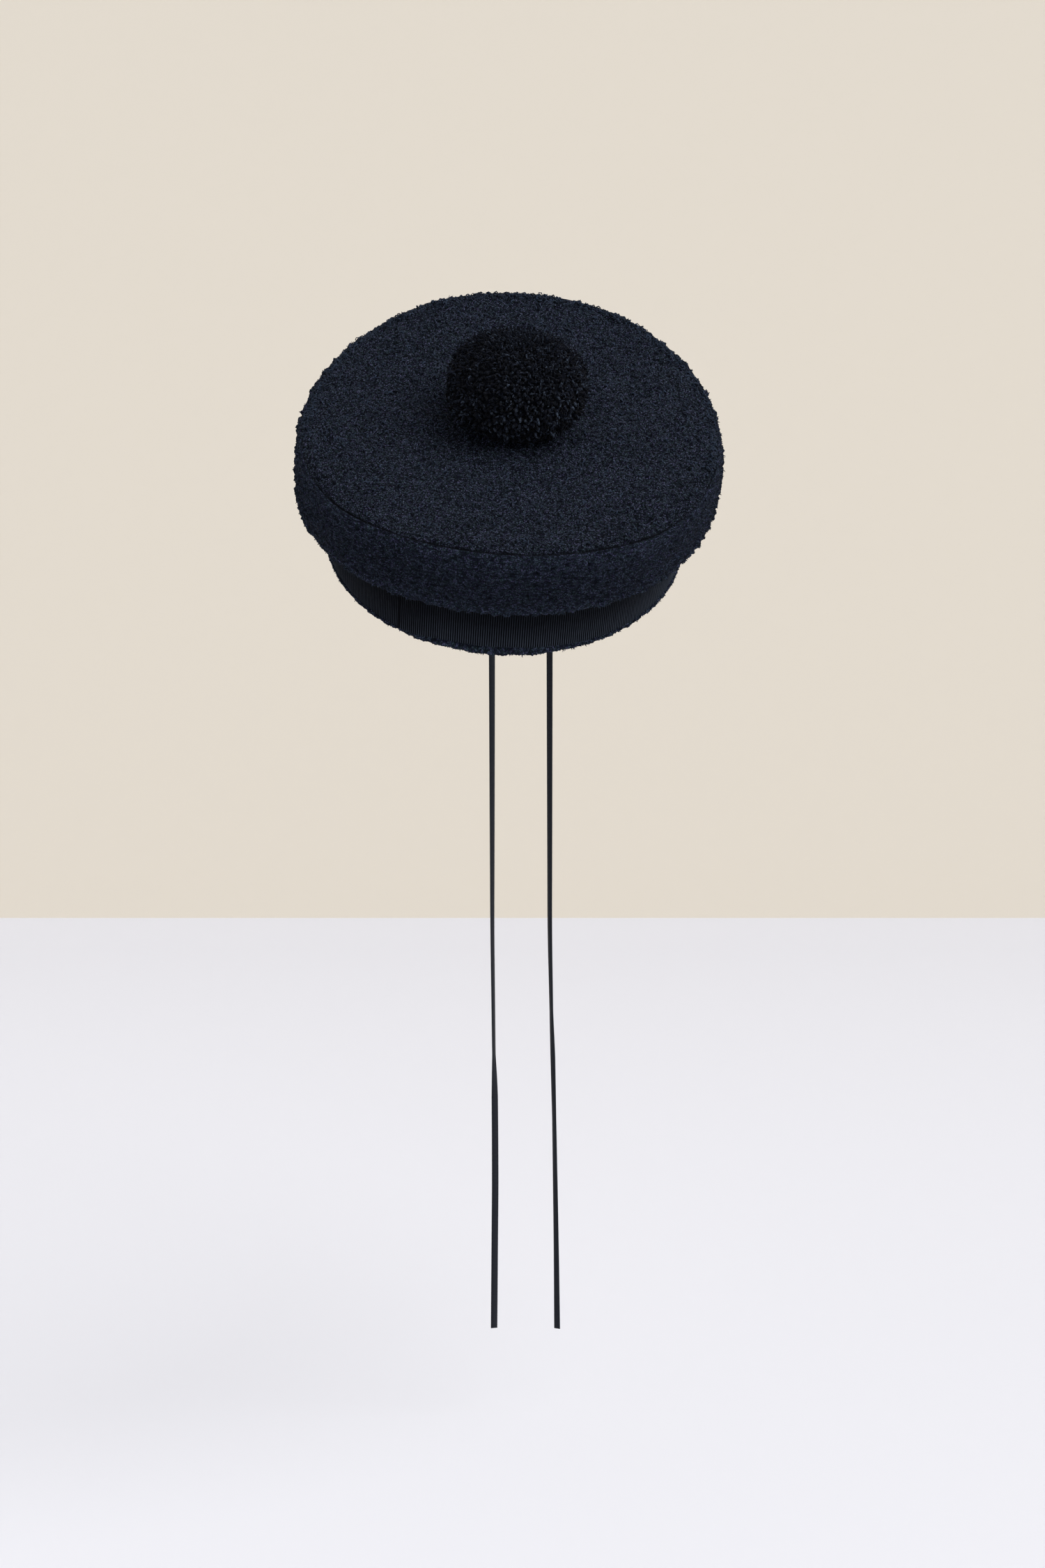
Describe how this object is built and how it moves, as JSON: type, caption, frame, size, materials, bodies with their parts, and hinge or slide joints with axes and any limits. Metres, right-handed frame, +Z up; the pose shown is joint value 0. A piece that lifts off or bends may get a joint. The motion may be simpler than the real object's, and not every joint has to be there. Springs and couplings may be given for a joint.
{
  "type": "sailor hat",
  "caption": "Soft tweed sailor hat with a wide flat crown, upright band with a grosgrain ribbon, a yarn pompom on top and two narrow ties hanging behind.",
  "frame": {"origin": "the middle of the head opening, in the plane of the head band's lower edge, which is where a head holds the hat", "axes": "+Z is up, and the two ties hang along -Z. The wearer faces -Y and +X is to the wearer's left. The hat is held as worn: its lower edge is tipped forward by 33 degrees over the brow, leans 3.9 degrees towards +X and is turned 2.6 degrees"},
  "size_m": [0.2109, 0.2264, 0.5618],
  "materials": {
    "tweed": "navy looped (boucle) wool tweed, matt and nubby",
    "grosgrain": "black ribbed grosgrain ribbon with a slight sheen",
    "pompom_yarn": "blue-black cut boucle yarn, matt"
  },
  "bodies": {
    "root": {"crown_top": "tweed", "crown_side": "tweed", "head_band": "tweed", "ribbon_band": "grosgrain", "pompom": "pompom_yarn", "tail_left": "grosgrain", "tail_right": "grosgrain"}
  },
  "joints": []
}
